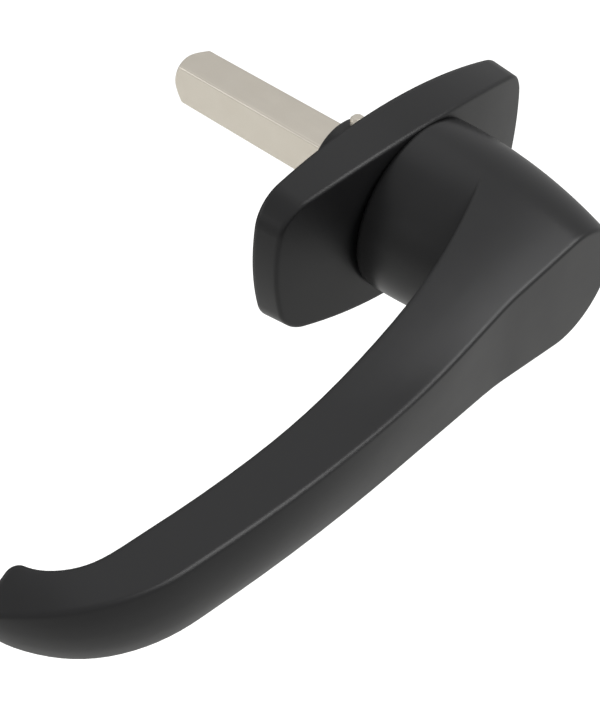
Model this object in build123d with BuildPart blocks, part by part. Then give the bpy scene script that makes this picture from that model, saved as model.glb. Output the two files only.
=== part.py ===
from build123d import *
import os
from math import cos, radians, sin, sqrt

# Lever handle on an oblong plate, with the square spindle that it turns.
# The origin is where the spindle's axis meets the plate's back face. +Y runs into the door,
# -Y runs towards the hand, the lever points along -X, and +Z is up. All sizes are in millimetres.
# A reach is a distance from the origin along -X, and a level a distance from it along -Y.

# Square spindle
spindle_across = 8.0
spindle_corner_radius = 0.5
spindle_end_level = -50.0
spindle_depth_level = 24.0
spindle_nose_radius = 3.4

# Neck of the lever, which turns in the bush and holds the spindle
neck_radius = 8.05
neck_end_level = -10.0
neck_end_chamfer = 0.2
socket_clearance = 0.05
socket_bottom_gap = 0.5

# Hub, whose side is one long arc that leaves the base square to it
hub_base_level = 8.0
hub_front_level = 38.45
hub_base_radius = 15.45
hub_side_radius = 97.6

# Web from the hub to the grip, whose upper and lower faces are tangent to the hub
web_slope = 7.7
web_end_reach = 14.0
facet_softness = 1.3
facet_fade_reach = 16.0
facet_fade_length = 12.0

# Grip, which bows towards the hand between two sharp ridges
grip_half_height = 5.55
grip_crest_reach = 49.5
grip_crest_level = 40.26
grip_bow_radius = 264.0
grip_front_radius = 15.0
grip_back_swell = 0.8
front_softness = 0.35
swell_full_reach = 72.0
back_full_reach = 42.0
grip_section_count = 12
facet_point_count = 5

# Inner side of web and grip, two tangent arcs that face the door
inner_join_reach = 30.0
inner_join_level = 29.37
inner_join_slope = 0.153
inner_web_radius = 92.0
inner_grip_radius = 200.0

# Tip, which hooks back towards the door and is rounded in the front view
tip_start_reach = 78.0
tip_radius = 24.2
tip_first_angle = 20.0
tip_last_angle = 66.2
hook_start_reach = 82.8
hook_radius = 9.8
hook_last_angle = 77.0
tip_round_reach = 82.0
tip_round_length = 15.8
tip_round_power = 2.7
tip_section_count = 5

# Broken edge along the ridges and the hub's rim, and the rounded inner edge of the grip's end
ridge_break = 0.25
grip_end_radius = 1.7

# Plate, with bowed sides, a draft towards the front and a crowned front face
plate_half_length = 30.7
plate_half_height = 16.6
plate_thickness = 7.67
plate_side_radius = 98.0
plate_end_radius = 42.0
plate_corner_radius = 7.0
plate_side_draft = 1.0
plate_end_draft = 0.9
plate_crown_radius = 156.0
plate_edge_break = 0.3
plate_wall = 2.0

# Inside of the plate
rib_thickness = 1.6
collar_wall = 1.95
collar_end_level = -1.5
boss_radius = 4.6
fixing_spacing = 43.0
fixing_hole_radius = 2.1
fixing_hole_depth = 4.6

# Flanged bush between neck and plate
bush_wall = 1.2
bush_flange_thickness = 1.0
bush_flange_width = 2.3
bush_end_gap = 0.3
bush_seat_clearance = 0.02
flange_recess_clearance = 0.2
running_clearance = 0.06
end_float = 0.05

# Stop nib on the plate, in an arc pocket in the hub's base
turn_range = 90.0
nib_radius = 1.0
nib_place_radius = 13.0
nib_reach_into_hub = 1.3
nib_clearance = 0.3
pocket_end_gap = 0.4

# Cross pin, pressure washer and disc spring, behind the plate
pin_radius = 1.25
pin_half_length = 10.5
pin_level = -6.65
pin_end_chamfer = 0.4
pin_seat_clearance = 0.02
washer_thickness = 1.2
washer_outer_radius = 11.0
spring_thickness = 0.5
spring_outer_radius = 10.6
spring_seat_clearance = 0.05
bore_clearance = 0.25

# Values that follow from the sizes above
bush_inner_radius = neck_radius + running_clearance
bush_outer_radius = bush_inner_radius + bush_wall
bush_flange_radius = bush_outer_radius + bush_flange_width
bush_flange_level = hub_base_level - end_float
bush_seat_level = bush_flange_level - bush_flange_thickness
bush_bore_radius = bush_outer_radius + bush_seat_clearance
collar_radius = bush_bore_radius + collar_wall
socket_half = spindle_across / 2 + socket_clearance
washer_back_level = pin_level + pin_radius + end_float
washer_front_level = washer_back_level + washer_thickness
sliding_radius = neck_radius + bore_clearance
bow_centre_level = grip_crest_level - grip_bow_radius


def soft_corner(rise, softness):
    """Height above zero of a corner that turns softly from level to rising."""
    return (rise + sqrt(rise**2 + softness**2)) / 2


def eased(share):
    """Share from 0 to 1 that starts and ends level."""
    held = min(max(share, 0.0), 1.0)
    return held * held * (3 - 2 * held)


def hub_radius(level):
    """Radius of the hub's side at a level."""
    return hub_base_radius - hub_side_radius + sqrt(hub_side_radius**2 - (level - hub_base_level) ** 2)


def facet_height(reach, level):
    """Half height of web and grip: the hub's tangent face or the grip's flat, whichever is higher."""
    tangent = (hub_radius(level) - reach * sin(radians(web_slope))) / cos(radians(web_slope))
    softness = facet_softness * eased((reach - facet_fade_reach) / facet_fade_length)
    return grip_half_height + soft_corner(tangent - grip_half_height, softness)


def ridge_level(reach):
    """Level of the front ridge: the hub's flat front or the grip's bow, whichever stands out more."""
    bow = bow_centre_level + sqrt(grip_bow_radius**2 - (reach - grip_crest_reach) ** 2)
    return hub_front_level + soft_corner(bow - hub_front_level, front_softness)


def inner_level(reach):
    """Level of the inner side, which runs in two arcs that share one tangent at their join."""
    step = reach - inner_join_reach
    radius = inner_grip_radius if step > 0 else inner_web_radius
    return inner_join_level + inner_join_slope * step - step * step / (2 * radius)


def front_swell(half_height, reach):
    """How far the rounded front stands out between its two ridges."""
    full = grip_front_radius - sqrt(grip_front_radius**2 - half_height**2)
    return full * eased((reach - web_end_reach) / (swell_full_reach - web_end_reach)) ** 2


def shared_out(first, last):
    """Even steps from a first to a last value, at which a section's upper face is set."""
    return [first + (last - first) * step / (facet_point_count - 1) for step in range(facet_point_count)]


def lever_section(outer, inner, heights, front, back):
    """One cross-section, from its ridge to its inner edge.

    outer and inner are (reach, level) pairs, heights the half heights in even steps from the ridge
    to the inner edge, front and back how far the two rounded sides stand out.
    """
    start = Vector(-outer[0], -outer[1], 0)
    across = Vector(-inner[0], -inner[1], 0) - start
    depth = across.length
    along = across.normalized().rotate(Axis.Z, 90)
    upper = list(zip(shared_out(0, depth), heights))
    lower = [(place, -height) for place, height in reversed(upper)]
    with BuildSketch(Plane(origin=start, x_dir=across, z_dir=along), mode=Mode.PRIVATE) as section:
        with BuildLine():
            ThreePointArc(lower[-1], (-front, 0), upper[0])
            Spline(upper)
            ThreePointArc(upper[-1], (depth + back, 0), lower[0])
            Spline(lower)
        make_face()
    return section.sketch.face()


def straight_section(reach):
    """Section square to the lever at a reach."""
    outer = ridge_level(reach)
    inner = inner_level(reach)
    heights = [facet_height(reach, level) for level in shared_out(outer, inner)]
    share = eased((reach - web_end_reach) / (back_full_reach - web_end_reach))
    return lever_section(
        (reach, outer), (reach, inner), heights, front_swell(heights[0], reach), grip_back_swell * share
    )


def tip_height(reach):
    """Half height of the tip, whose front view ends in a squarish round."""
    share = max(reach - tip_round_reach, 0.0) / tip_round_length
    return grip_half_height * (1 - share**tip_round_power) ** (1 / tip_round_power)


def arc_point(start_reach, start_level, start_angle, radius, angle):
    """Point at an angle on an arc that starts at a reach and level; angles run from the front."""
    return (
        start_reach + radius * (sin(angle) - sin(start_angle)),
        start_level + radius * (cos(angle) - cos(start_angle)),
    )


def tip_section(share):
    """Section of the hooked tip, between its outer and inner arc, at a share of both from 0 to 1."""
    lean = (tip_start_reach - grip_crest_reach) / grip_bow_radius
    outer_angle = radians(tip_first_angle + share * (tip_last_angle - tip_first_angle))
    outer = arc_point(tip_start_reach, ridge_level(tip_start_reach), lean, tip_radius, outer_angle)
    droop = (hook_start_reach - inner_join_reach) / inner_grip_radius - inner_join_slope
    inner_angle = droop + share * (radians(hook_last_angle) - droop)
    inner = arc_point(hook_start_reach, inner_level(hook_start_reach), droop, hook_radius, inner_angle)
    heights = [tip_height(reach) for reach in shared_out(outer[0], inner[0])]
    return lever_section(outer, inner, heights, front_swell(heights[0], outer[0]), grip_back_swell)


def meridian_profile(plane, near_level):
    """Half of the hub's long section: from the axis to its side, and from a level to the front."""
    with BuildSketch(plane, mode=Mode.PRIVATE) as profile:
        with BuildLine():
            side = RadiusArc(
                (hub_radius(near_level), -near_level),
                (hub_radius(hub_front_level), -hub_front_level),
                hub_side_radius,
            )
            Polyline(side @ 1, (0, -hub_front_level), (0, -near_level), side @ 0)
        make_face()
    return profile.sketch


# Web, as the hub's own section drawn out along its tangent, above and below
web_tangent = Plane(
    origin=(0, 0, 0),
    x_dir=(-sin(radians(web_slope)), 0, cos(radians(web_slope))),
    z_dir=(-cos(radians(web_slope)), 0, -sin(radians(web_slope))),
)
with BuildPart() as web:
    extrude(meridian_profile(web_tangent, hub_base_level + 4), amount=web_end_reach * 1.3)
    mirror(about=Plane.XY)
    with BuildSketch(Plane.XY.offset(-hub_base_radius * 2)) as web_plan:
        with BuildLine():
            inner_arc = ThreePointArc(
                (-web_end_reach, -inner_level(web_end_reach)),
                (-web_end_reach / 2, -inner_level(web_end_reach / 2)),
                (hub_base_radius / 2, -inner_level(-hub_base_radius / 2)),
            )
            Polyline(
                inner_arc @ 1,
                (hub_base_radius / 2, -hub_front_level),
                (-web_end_reach, -hub_front_level),
                inner_arc @ 0,
            )
        make_face()
    extrude(amount=hub_base_radius * 4, mode=Mode.INTERSECT)

# Grip and tip, through sections that start at the web's end
grip_step = (tip_start_reach - web_end_reach) / grip_section_count
web_end = web.faces().filter_by(Axis.X).sort_by(Axis.X)[0]
with BuildPart() as grip:
    loft(
        [web_end]
        + [straight_section(web_end_reach + grip_step * (step + 1)) for step in range(grip_section_count)]
        + [tip_section(step / (tip_section_count - 1)) for step in range(tip_section_count)]
    )


def stop_arc(radius):
    """Path of the stop nib in the hub's base, as wide as twice the radius."""
    with BuildLine(mode=Mode.PRIVATE) as path:
        CenterArc((0, 0), nib_place_radius, start_angle=90 - turn_range, arc_size=turn_range)
    SlotArc(path.edge(), 2 * radius)


def bowed_outline(end_inset, side_inset):
    """Plate's outline inside that of its back: two pairs of bowed sides with rounded corners."""
    with BuildSketch(Plane.XZ, mode=Mode.PRIVATE) as outline:
        with Locations((0, plate_half_height - plate_side_radius)):
            Circle(plate_side_radius - side_inset)
        with Locations((0, plate_side_radius - plate_half_height)):
            Circle(plate_side_radius - side_inset, mode=Mode.INTERSECT)
        with Locations((plate_half_length - plate_end_radius, 0)):
            Circle(plate_end_radius - end_inset, mode=Mode.INTERSECT)
        with Locations((plate_end_radius - plate_half_length, 0)):
            Circle(plate_end_radius - end_inset, mode=Mode.INTERSECT)
        fillet(outline.vertices(), radius=plate_corner_radius - (end_inset + side_inset) / 2)
    return outline.sketch


def drafted_block(wall):
    """Body of the plate, or its hollow inside a wall, from the back to the crowned front."""
    back = bowed_outline(wall, wall)
    front = bowed_outline(wall + plate_end_draft, wall + plate_side_draft)
    front = front.moved(Location((0, -plate_thickness, 0)))
    block = loft([back.face(), front.face()], ruled=True, mode=Mode.PRIVATE)
    return block & crown(wall)


def crown(depth):
    """Round body that the crowned front is cut from, its crest at a depth inside the front."""
    radius = plate_crown_radius - depth
    with BuildSketch(Plane.XY.offset(-plate_half_height * 2), mode=Mode.PRIVATE) as disc:
        with Locations((0, radius + depth - plate_thickness)):
            Circle(radius)
    return extrude(disc.sketch, amount=plate_half_height * 4, mode=Mode.PRIVATE)


# Lever: hub, web and grip, with the neck that holds the spindle and turns in the bush
with BuildPart() as lever_handle:
    revolve(meridian_profile(Plane.XY, hub_base_level), axis=Axis.Y)
    add(web.part)
    add(grip.part)
    long_edges = lever_handle.edges().filter_by(GeomType.BSPLINE).sort_by(SortBy.LENGTH)[-4:]
    hub_front = lever_handle.faces().filter_by(Axis.Y).sort_by(Axis.Y)[0]
    hub_rim = hub_front.edges() - hub_front.edges().filter_by(Axis.Z)
    chamfer(long_edges.sort_by(Axis.Y)[:2] + hub_rim, length=ridge_break)
    grip_end = lever_handle.faces().filter_by(GeomType.PLANE).sort_by(Axis.X)[0]
    fillet(grip_end.edges().sort_by(Axis.X)[-1], radius=grip_end_radius)
    with BuildSketch(Plane.XZ.offset(neck_end_level)):
        Circle(neck_radius)
    extrude(amount=hub_base_level - neck_end_level)
    neck_end = lever_handle.faces().sort_by(Axis.Y)[-1]
    chamfer(neck_end.edges(), length=neck_end_chamfer)
    with BuildSketch(Plane.XZ.offset(neck_end_level)):
        Rectangle(2 * socket_half, 2 * socket_half)
    extrude(amount=spindle_depth_level + socket_bottom_gap - neck_end_level, mode=Mode.SUBTRACT)
    with BuildSketch(Plane.XY.offset(-neck_radius)):
        with Locations((0, -pin_level)):
            Circle(pin_radius + pin_seat_clearance)
    extrude(amount=2 * neck_radius, mode=Mode.SUBTRACT)
    with BuildSketch(Plane.XZ.offset(hub_base_level)):
        stop_arc(nib_radius + nib_clearance)
    extrude(amount=nib_reach_into_hub + pocket_end_gap, mode=Mode.SUBTRACT)
lever_handle.part.label = "lever_handle"

# Plate: a shell open to the door, with a collar for the bush, two bosses for the fixing screws,
# ribs between them, and the nib that stops the hub
plate_hollow = drafted_block(plate_wall)
with BuildPart() as escutcheon_plate:
    add(drafted_block(0))
    front = escutcheon_plate.faces().filter_by(GeomType.CYLINDER).sort_by(Axis.Y)[0]
    chamfer(front.edges(), length=plate_edge_break)
    add(plate_hollow, mode=Mode.SUBTRACT)
    with BuildSketch(Plane.XZ, mode=Mode.PRIVATE) as stiffening:
        Rectangle(2 * plate_half_length, rib_thickness)
        with GridLocations(fixing_spacing, 0, 2, 1):
            Rectangle(rib_thickness, 2 * plate_half_height)
            Circle(boss_radius)
        Circle(collar_radius)
    rib_block = extrude(stiffening.sketch, amount=plate_thickness, mode=Mode.PRIVATE)
    add(rib_block & plate_hollow)
    with BuildSketch(Plane.XZ.offset(collar_end_level)):
        Circle(collar_radius)
    extrude(amount=-collar_end_level)
    with BuildSketch(Plane.XZ.offset(collar_end_level)):
        Circle(bush_bore_radius)
    extrude(amount=plate_thickness - collar_end_level, mode=Mode.SUBTRACT)
    with BuildSketch(Plane.XZ.offset(bush_seat_level)):
        Circle(bush_flange_radius + flange_recess_clearance)
    extrude(amount=plate_thickness, mode=Mode.SUBTRACT)
    with BuildSketch(Plane.XZ):
        with GridLocations(fixing_spacing, 0, 2, 1):
            Circle(fixing_hole_radius)
    extrude(amount=fixing_hole_depth, mode=Mode.SUBTRACT)
    with BuildSketch(Plane.XZ.offset(plate_thickness - plate_wall / 2)):
        with Locations((0, nib_place_radius)):
            Circle(nib_radius)
    extrude(amount=plate_wall / 2 + hub_base_level - plate_thickness + nib_reach_into_hub)
escutcheon_plate.part.label = "escutcheon_plate"

# Bush: a sleeve in the collar, and a flange that the hub's base runs on
with BuildPart() as bearing_bush:
    with BuildSketch(Plane.XZ.offset(bush_seat_level)):
        Circle(bush_flange_radius)
    extrude(amount=bush_flange_thickness)
    with BuildSketch(Plane.XZ.offset(collar_end_level + bush_end_gap)):
        Circle(bush_outer_radius)
    extrude(amount=bush_seat_level - collar_end_level - bush_end_gap)
    with BuildSketch(Plane.XZ.offset(collar_end_level)):
        Circle(bush_inner_radius)
    extrude(amount=bush_flange_level - collar_end_level, mode=Mode.SUBTRACT)
bearing_bush.part.label = "bearing_bush"

# Spindle: a square bar with turned ends
with BuildPart() as square_spindle:
    with BuildSketch(Plane.XZ.offset(spindle_end_level)):
        RectangleRounded(spindle_across, spindle_across, spindle_corner_radius)
    extrude(amount=spindle_depth_level - spindle_end_level)
    with BuildSketch(Plane.XY) as turned:
        with BuildLine():
            Polyline(
                (0, -spindle_end_level),
                (spindle_nose_radius, -spindle_end_level),
                (spindle_across, -spindle_end_level - spindle_across + spindle_nose_radius),
                (spindle_across, spindle_across - spindle_nose_radius - spindle_depth_level),
                (spindle_nose_radius, -spindle_depth_level),
                (0, -spindle_depth_level),
                close=True,
            )
        make_face()
    revolve(axis=Axis.Y, mode=Mode.INTERSECT)
    with BuildSketch(Plane.XY.offset(-spindle_across)):
        with Locations((0, -pin_level)):
            Circle(pin_radius + pin_seat_clearance)
    extrude(amount=2 * spindle_across, mode=Mode.SUBTRACT)
square_spindle.part.label = "square_spindle"

# Cross pin: holds the spindle in the neck and keeps the lever in the plate
with BuildPart() as cross_pin:
    with BuildSketch(Plane.XY.offset(-pin_half_length)):
        with Locations((0, -pin_level)):
            Circle(pin_radius)
    extrude(amount=2 * pin_half_length)
    chamfer(cross_pin.edges().filter_by(GeomType.CIRCLE), length=pin_end_chamfer)
cross_pin.part.label = "cross_pin"

# Pressure washer, which bears on the pin
with BuildPart() as pressure_washer:
    with BuildSketch(Plane.XZ.offset(washer_back_level)):
        Circle(washer_outer_radius)
        Circle(sliding_radius, mode=Mode.SUBTRACT)
    extrude(amount=washer_thickness)
pressure_washer.part.label = "pressure_washer"

# Disc spring: a cone between collar and washer, which draws the hub to the plate
with BuildPart() as disc_spring:
    with BuildSketch(Plane.XY):
        with BuildLine():
            Polyline(
                (sliding_radius, -collar_end_level + spring_seat_clearance),
                (sliding_radius, -collar_end_level + spring_seat_clearance + spring_thickness),
                (spring_outer_radius, -washer_front_level - spring_seat_clearance),
                (spring_outer_radius, -washer_front_level - spring_seat_clearance - spring_thickness),
                close=True,
            )
        make_face()
    revolve(axis=Axis.Y)
disc_spring.part.label = "disc_spring"

os.makedirs("parts", exist_ok=True)
for piece in (
    lever_handle,
    escutcheon_plate,
    bearing_bush,
    square_spindle,
    cross_pin,
    pressure_washer,
    disc_spring,
):
    export_step(piece.part, f"parts/{piece.part.label}.step")
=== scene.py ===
import logging
from dataclasses import dataclass
from enum import Enum

import bpy
import numpy as np
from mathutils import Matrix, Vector

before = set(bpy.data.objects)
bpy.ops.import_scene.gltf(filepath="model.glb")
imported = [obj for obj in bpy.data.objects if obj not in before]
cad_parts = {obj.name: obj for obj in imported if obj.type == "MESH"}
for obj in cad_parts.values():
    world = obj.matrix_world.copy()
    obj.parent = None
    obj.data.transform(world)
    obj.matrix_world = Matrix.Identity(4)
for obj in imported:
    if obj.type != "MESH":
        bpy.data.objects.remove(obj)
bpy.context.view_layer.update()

# One millimetre in the scene's unit
MM = 0.001

# Level of the floor, below the handle
FLOOR_LEVEL = -300 * MM

# Sockets of a Mix node by number: factor, two values and their result, two colours and theirs
MIX_FACTOR = 0
FIRST_VALUE = 2
SECOND_VALUE = 3
MIXED_VALUE = 0
FIRST_COLOUR = 6
SECOND_COLOUR = 7
MIXED_COLOUR = 2

# Band that most of a noise's values lie in, which is spread over the whole swing of a roughness
NOISE_LOW = 0.3
NOISE_HIGH = 0.7

# Samples with which an edge is softened
EDGE_SAMPLES = 8

log = logging.getLogger("lever_handle_scene")


def linear_colour(hex_code: str) -> tuple[float, float, float, float]:
    """Turns an sRGB hex colour into the linear colour that a shader reads.

    Args:
        hex_code: Six hex digits, red first.

    Returns:
        Red, green, blue in linear light, and an alpha of one.
    """
    parts = np.array([int(hex_code[start : start + 2], 16) for start in (0, 2, 4)]) / 255
    light = np.where(parts <= 0.04045, parts / 12.92, ((parts + 0.055) / 1.055) ** 2.4)
    return (*light.tolist(), 1.0)


def add_node(
    tree: bpy.types.NodeTree,
    kind: str,
    inputs: dict[str | int, object] | None = None,
    **settings: object,
) -> bpy.types.Node:
    """Adds one node, with its settings, and fills or joins its sockets.

    Args:
        tree: Node tree that the node goes into.
        kind: Blender's name of the node's type.
        inputs: Socket names or numbers, each with a plain value or with the output that feeds it.
        **settings: Properties of the node itself.

    Returns:
        The new node.
    """
    node = tree.nodes.new(kind)
    for name, value in settings.items():
        setattr(node, name, value)
    for name, value in (inputs or {}).items():
        if isinstance(value, bpy.types.NodeSocket):
            tree.links.new(value, node.inputs[name])
        else:
            node.inputs[name].default_value = value
    return node


def empty_material(name: str) -> tuple[bpy.types.Material, bpy.types.NodeTree]:
    """Makes a material with no nodes.

    Args:
        name: Name of the material.

    Returns:
        The material and its node tree.
    """
    material = bpy.data.materials.new(name)
    material.use_nodes = True
    material.node_tree.nodes.clear()
    return material, material.node_tree


def lay_clouds(
    tree: bpy.types.NodeTree,
    place: bpy.types.NodeSocket,
    size: float,
    detail: float,
    colours: tuple[str, str],
) -> tuple[bpy.types.NodeSocket, bpy.types.NodeSocket]:
    """Lays slow clouds over a surface, and drifts between two near colours with them.

    Args:
        tree: Node tree of the material.
        place: Place on the surface.
        size: Width of a cloud, in metres.
        detail: How many finer layers lie over the clouds.
        colours: The two sRGB hex colours.

    Returns:
        The clouds, from zero to one, and the drifting colour.
    """
    clouds = add_node(
        tree, "ShaderNodeTexNoise", {"Vector": place, "Scale": 1 / size, "Detail": detail}
    ).outputs["Fac"]
    tone = add_node(
        tree,
        "ShaderNodeMix",
        {
            MIX_FACTOR: clouds,
            FIRST_COLOUR: linear_colour(colours[0]),
            SECOND_COLOUR: linear_colour(colours[1]),
        },
        data_type="RGBA",
    )
    return clouds, tone.outputs[MIXED_COLOUR]


def raised_skin(
    tree: bpy.types.NodeTree, height: bpy.types.NodeSocket, depth: float, soft_edge: float
) -> bpy.types.NodeSocket:
    """Softens the edges for the light that falls on them, and raises a fine pattern over them.

    Args:
        tree: Node tree of the material.
        height: The pattern, from zero to one.
        depth: Depth of the pattern, in metres.
        soft_edge: Radius that the edges seem to have, in metres.

    Returns:
        The surface's normal.
    """
    edge = add_node(tree, "ShaderNodeBevel", {"Radius": soft_edge}, samples=EDGE_SAMPLES)
    bump = add_node(
        tree, "ShaderNodeBump", {"Height": height, "Distance": depth, "Normal": edge.outputs["Normal"]}
    )
    return bump.outputs["Normal"]


def shade_surface(tree: bpy.types.NodeTree, inputs: dict[str | int, object]) -> None:
    """Joins one principled shader to the material's output.

    Args:
        tree: Node tree of the material.
        inputs: The shader's sockets, each with a plain value or with the output that feeds it.
    """
    shader = add_node(tree, "ShaderNodeBsdfPrincipled", inputs)
    add_node(tree, "ShaderNodeOutputMaterial", {"Surface": shader.outputs["BSDF"]})


# Polyester powder, sprayed on the casting and baked. To the eye it is one deep, even black with wide soft
# highlights. Its peel is as wide as the short waves of a smooth coat, and only breaks up the gloss.
@dataclass(frozen=True)
class SatinPowderCoat:
    """Polyester powder coat: deep black, even, with a very fine orange peel."""

    name: str = "black_powder_coat"
    colour: str = "1e1e1f"
    colour_cloud: str = "222223"
    roughness: float = 0.34
    roughness_swing: float = 0.05
    ior: float = 1.46
    peel_size: float = 0.42 * MM
    peel_depth: float = 0.0018 * MM
    peel_detail: float = 2.0
    peel_fineness: float = 0.45
    cloud_size: float = 9 * MM
    cloud_detail: float = 3.0
    soft_edge: float = 0.9 * MM

    def make(self) -> bpy.types.Material:
        """Builds the material: fine peel in the bump, slow clouds in colour and gloss.

        Returns:
            The new material.
        """
        material, tree = empty_material(self.name)
        place = add_node(tree, "ShaderNodeTexCoord").outputs["Object"]
        peel = add_node(
            tree,
            "ShaderNodeTexNoise",
            {
                "Vector": place,
                "Scale": 1 / self.peel_size,
                "Detail": self.peel_detail,
                "Roughness": self.peel_fineness,
            },
        )
        colours = (self.colour, self.colour_cloud)
        clouds, tone = lay_clouds(tree, place, self.cloud_size, self.cloud_detail, colours)
        gloss = add_node(
            tree,
            "ShaderNodeMapRange",
            {
                "Value": clouds,
                "From Min": NOISE_LOW,
                "From Max": NOISE_HIGH,
                "To Min": self.roughness - self.roughness_swing / 2,
                "To Max": self.roughness + self.roughness_swing / 2,
            },
        )
        shade_surface(
            tree,
            {
                "Base Color": tone,
                "Roughness": gloss.outputs["Result"],
                "IOR": self.ior,
                "Normal": raised_skin(tree, peel.outputs["Fac"], self.peel_depth, self.soft_edge),
            },
        )
        return material


class Grain(Enum):
    """Way that a metal part's fine marks run.

    Each value says how closely the marks are packed along X, Y and Z: a small number draws them out.
    """

    DRAWN_ALONG_BAR = (1.0, 0.02, 1.0)
    DRAWN_ALONG_PIN = (1.0, 1.0, 0.05)
    ROLLED_SHEET = (1.0, 1.0, 1.0)


# Cold drawn steel under a thin nickel plate. To the eye it is warm, pale and satin, with soft streaks along
# the bar. Real draw marks are finer than a pixel, so these are drawn coarser, as wide as they need to show.
@dataclass(frozen=True)
class SatinSteel:
    """Steel with a satin face, nickel plated or plain: its colour, its gloss and the way its marks run."""

    name: str = "nickel_plated_steel"
    colour: str = "f6efe2"
    colour_cloud: str = "efe7d9"
    roughness: float = 0.36
    roughness_swing: float = 0.10
    grain: Grain = Grain.DRAWN_ALONG_BAR
    mark_size: float = 0.22 * MM
    mark_depth: float = 0.0012 * MM
    mark_detail: float = 4.0
    mark_fineness: float = 0.6
    cloud_size: float = 5 * MM
    cloud_detail: float = 4.0
    soft_edge: float = 0.2 * MM

    def make(self) -> bpy.types.Material:
        """Builds the material: drawn marks in bump and gloss, slow clouds in the colour.

        Returns:
            The new material.
        """
        material, tree = empty_material(self.name)
        place = add_node(tree, "ShaderNodeTexCoord").outputs["Object"]
        drawn = add_node(tree, "ShaderNodeMapping", {"Vector": place, "Scale": self.grain.value})
        marks = add_node(
            tree,
            "ShaderNodeTexNoise",
            {
                "Vector": drawn.outputs["Vector"],
                "Scale": 1 / self.mark_size,
                "Detail": self.mark_detail,
                "Roughness": self.mark_fineness,
            },
        ).outputs["Fac"]
        colours = (self.colour, self.colour_cloud)
        _, tone = lay_clouds(tree, place, self.cloud_size, self.cloud_detail, colours)
        gloss = add_node(
            tree,
            "ShaderNodeMapRange",
            {
                "Value": marks,
                "From Min": NOISE_LOW,
                "From Max": NOISE_HIGH,
                "To Min": self.roughness - self.roughness_swing / 2,
                "To Max": self.roughness + self.roughness_swing / 2,
            },
        )
        shade_surface(
            tree,
            {
                "Base Color": tone,
                "Metallic": 1.0,
                "Roughness": gloss.outputs["Result"],
                "Normal": raised_skin(tree, marks, self.mark_depth, self.soft_edge),
            },
        )
        return material


# Acetal, injection moulded in a spark eroded mould. To the eye it is a waxy off-black, duller than the
# coat. The real skin is finer than a pixel, so this one is drawn coarser, as wide as it needs to show.
@dataclass(frozen=True)
class MouldedAcetal:
    """Moulded acetal: waxy off-black plastic with a faint skin."""

    name: str = "bush_plastic"
    colour: str = "26272a"
    roughness: float = 0.5
    roughness_swing: float = 0.16
    ior: float = 1.48
    skin_size: float = 0.25 * MM
    skin_depth: float = 0.002 * MM
    skin_detail: float = 3.0

    def make(self) -> bpy.types.Material:
        """Builds the material: a fine skin in bump and gloss.

        Returns:
            The new material.
        """
        material, tree = empty_material(self.name)
        place = add_node(tree, "ShaderNodeTexCoord").outputs["Object"]
        skin = add_node(
            tree,
            "ShaderNodeTexNoise",
            {"Vector": place, "Scale": 1 / self.skin_size, "Detail": self.skin_detail},
        ).outputs["Fac"]
        gloss = add_node(
            tree,
            "ShaderNodeMapRange",
            {
                "Value": skin,
                "To Min": self.roughness - self.roughness_swing / 2,
                "To Max": self.roughness + self.roughness_swing / 2,
            },
        )
        bump = add_node(tree, "ShaderNodeBump", {"Height": skin, "Distance": self.skin_depth})
        shade_surface(
            tree,
            {
                "Base Color": linear_colour(self.colour),
                "Roughness": gloss.outputs["Result"],
                "IOR": self.ior,
                "Normal": bump.outputs["Normal"],
            },
        )
        return material


@dataclass
class HandleSet:
    """Lever, plate and the parts that hold them together, each with its finish."""

    coat: SatinPowderCoat = SatinPowderCoat()
    bar_steel: SatinSteel = SatinSteel()
    pin_steel: SatinSteel = SatinSteel(name="nickel_plated_pin", grain=Grain.DRAWN_ALONG_PIN)
    washer_steel: SatinSteel = SatinSteel(
        name="bright_steel_washer",
        colour="cfccc6",
        colour_cloud="c2bfb8",
        grain=Grain.ROLLED_SHEET,
    )
    spring_steel: SatinSteel = SatinSteel(
        name="spring_steel",
        colour="a5a19a",
        colour_cloud="8f8b84",
        roughness=0.3,
        grain=Grain.ROLLED_SHEET,
    )
    acetal: MouldedAcetal = MouldedAcetal()

    def dress(self) -> None:
        """Gives each part of the frame its finish."""
        finishes = {
            "lever_handle": self.coat,
            "escutcheon_plate": self.coat,
            "square_spindle": self.bar_steel,
            "cross_pin": self.pin_steel,
            "pressure_washer": self.washer_steel,
            "disc_spring": self.spring_steel,
            "bearing_bush": self.acetal,
        }
        made: dict[str, bpy.types.Material] = {}
        for part, finish in finishes.items():
            if finish.name not in made:
                made[finish.name] = finish.make()
            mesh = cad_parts[part].data
            mesh.materials.clear()
            mesh.materials.append(made[finish.name])
            log.info("dressed %s in %s", part, finish.name)


@dataclass(frozen=True)
class SoftLamp:
    """Square soft lamp: where it hangs, the point it faces, its side in metres and its power in watts."""

    name: str
    place: tuple[float, float, float]
    aim: tuple[float, float, float]
    side: float
    power: float

    def make(self) -> None:
        """Hangs the lamp."""
        light = bpy.data.lights.new(self.name, "AREA")
        light.shape = "SQUARE"
        light.size = self.side
        light.energy = self.power
        lamp = bpy.data.objects.new(self.name, light)
        lamp.location = self.place
        lamp.rotation_euler = (Vector(self.aim) - Vector(self.place)).to_track_quat("-Z", "Y").to_euler()
        bpy.context.scene.collection.objects.link(lamp)


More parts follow.
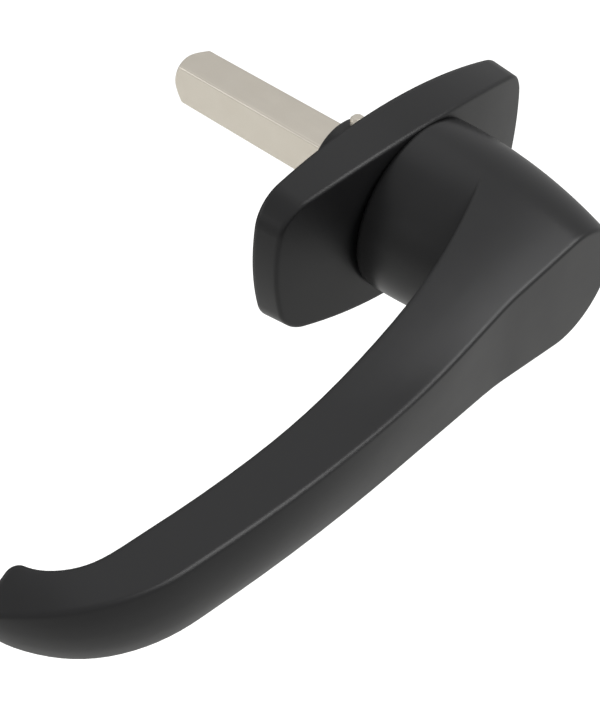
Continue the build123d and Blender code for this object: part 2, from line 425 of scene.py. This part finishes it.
@dataclass
class Studio:
    """Pale floor, white surround, soft lamps and the camera."""

    floor_half: float = 3000 * MM
    floor_colour: str = "d2d2d0"
    floor_colour_cloud: str = "d6d6d4"
    floor_cloud_size: float = 1 / 3
    floor_cloud_detail: float = 2.0
    floor_lift: float = 0.74
    surround_light: float = 0.38
    mirrored_share: float = 0.15
    lamps: tuple[SoftLamp, ...] = (
        SoftLamp("key_lamp", (0.449, -0.596, 1.065), (0.0, 0.0, 0.0), side=0.8, power=9.6),
        SoftLamp("rim_lamp", (0.325, 0.563, 1.126), (0.0, 0.0, 0.0), side=0.8, power=0.7),
        SoftLamp("floor_lamp", (-0.4, 0.45, 0.12), (-0.4, 0.45, FLOOR_LEVEL), side=0.5, power=0.9),
    )
    camera_place: tuple[float, float, float] = (-126.458 * MM, -106.252 * MM, 122.697 * MM)
    camera_look: tuple[float, float, float] = (0.5, 0.5, -0.70710678)
    camera_lens: float = 60.0
    camera_sensor: float = 36.0

    def seen_share(self, tree: bpy.types.NodeTree) -> bpy.types.NodeSocket:
        """Tells how much of the background's white a ray shall find.

        Args:
            tree: Node tree of the world or of the floor's material.

        Returns:
            One on a ray from the camera, the mirrored share on one off gloss or through glass,
            and zero on all others.
        """
        path = add_node(tree, "ShaderNodeLightPath").outputs
        mirrored = add_node(
            tree,
            "ShaderNodeMath",
            {0: path["Is Glossy Ray"], 1: path["Is Transmission Ray"]},
            operation="MAXIMUM",
        )
        both = add_node(
            tree,
            "ShaderNodeMath",
            {0: mirrored.outputs[0], 1: self.mirrored_share, 2: path["Is Camera Ray"]},
            operation="MULTIPLY_ADD",
        )
        return both.outputs[0]

    def make_world(self) -> None:
        """Makes the surround: white where the camera sees it, and a soft even light elsewhere."""
        world = bpy.data.worlds.new("white_surround")
        bpy.context.scene.world = world
        world.use_nodes = True
        tree = world.node_tree
        tree.nodes.clear()
        level = add_node(
            tree,
            "ShaderNodeMix",
            {MIX_FACTOR: self.seen_share(tree), FIRST_VALUE: self.surround_light, SECOND_VALUE: 1.0},
        )
        surround = add_node(
            tree,
            "ShaderNodeBackground",
            {"Color": linear_colour("ffffff"), "Strength": level.outputs[MIXED_VALUE]},
        )
        add_node(tree, "ShaderNodeOutputWorld", {"Surface": surround.outputs["Background"]})

    def make_floor(self) -> None:
        """Makes the floor, one flat square that is lifted to white where the camera sees it.

        The lift is added to the light that falls on the floor, so that the floor keeps its shadows.
        """
        mesh = bpy.data.meshes.new("floor")
        corners = np.array([(-1, -1), (1, -1), (1, 1), (-1, 1)]) * self.floor_half
        places = np.column_stack([corners, np.full(len(corners), FLOOR_LEVEL)])
        mesh.from_pydata(places.tolist(), [], [(0, 1, 2, 3)])
        floor = bpy.data.objects.new("floor", mesh)
        bpy.context.scene.collection.objects.link(floor)
        material, tree = empty_material("matt_white_floor")
        place = add_node(tree, "ShaderNodeTexCoord").outputs["Object"]
        colours = (self.floor_colour, self.floor_colour_cloud)
        _, tone = lay_clouds(tree, place, self.floor_cloud_size, self.floor_cloud_detail, colours)
        matt = add_node(tree, "ShaderNodeBsdfDiffuse", {"Color": tone})
        lift = add_node(
            tree, "ShaderNodeMapRange", {"Value": self.seen_share(tree), "To Max": self.floor_lift}
        )
        glow = add_node(tree, "ShaderNodeEmission", {"Strength": lift.outputs["Result"]})
        both = add_node(
            tree, "ShaderNodeAddShader", {0: matt.outputs["BSDF"], 1: glow.outputs["Emission"]}
        )
        add_node(tree, "ShaderNodeOutputMaterial", {"Surface": both.outputs["Shader"]})
        mesh.materials.append(material)

    def make_camera(self) -> None:
        """Sets up the camera at the photograph's place."""
        optics = bpy.data.cameras.new("camera")
        optics.lens = self.camera_lens
        optics.sensor_width = self.camera_sensor
        camera = bpy.data.objects.new("camera", optics)
        camera.location = self.camera_place
        camera.rotation_euler = Vector(self.camera_look).to_track_quat("-Z", "Y").to_euler()
        bpy.context.scene.collection.objects.link(camera)
        bpy.context.scene.camera = camera

    def make(self) -> None:
        """Makes the whole studio."""
        self.make_world()
        self.make_floor()
        for lamp in self.lamps:
            lamp.make()
        self.make_camera()
        bpy.context.scene.view_settings.view_transform = "Standard"
        log.info("studio is set, with %d lamps", len(self.lamps))


def main() -> None:
    """Builds the scene in order: dresses the parts, then makes the studio."""
    logging.basicConfig(level=logging.INFO, format="%(name)s: %(message)s")
    HandleSet().dress()
    Studio().make()


if __name__ == "__main__":
    main()
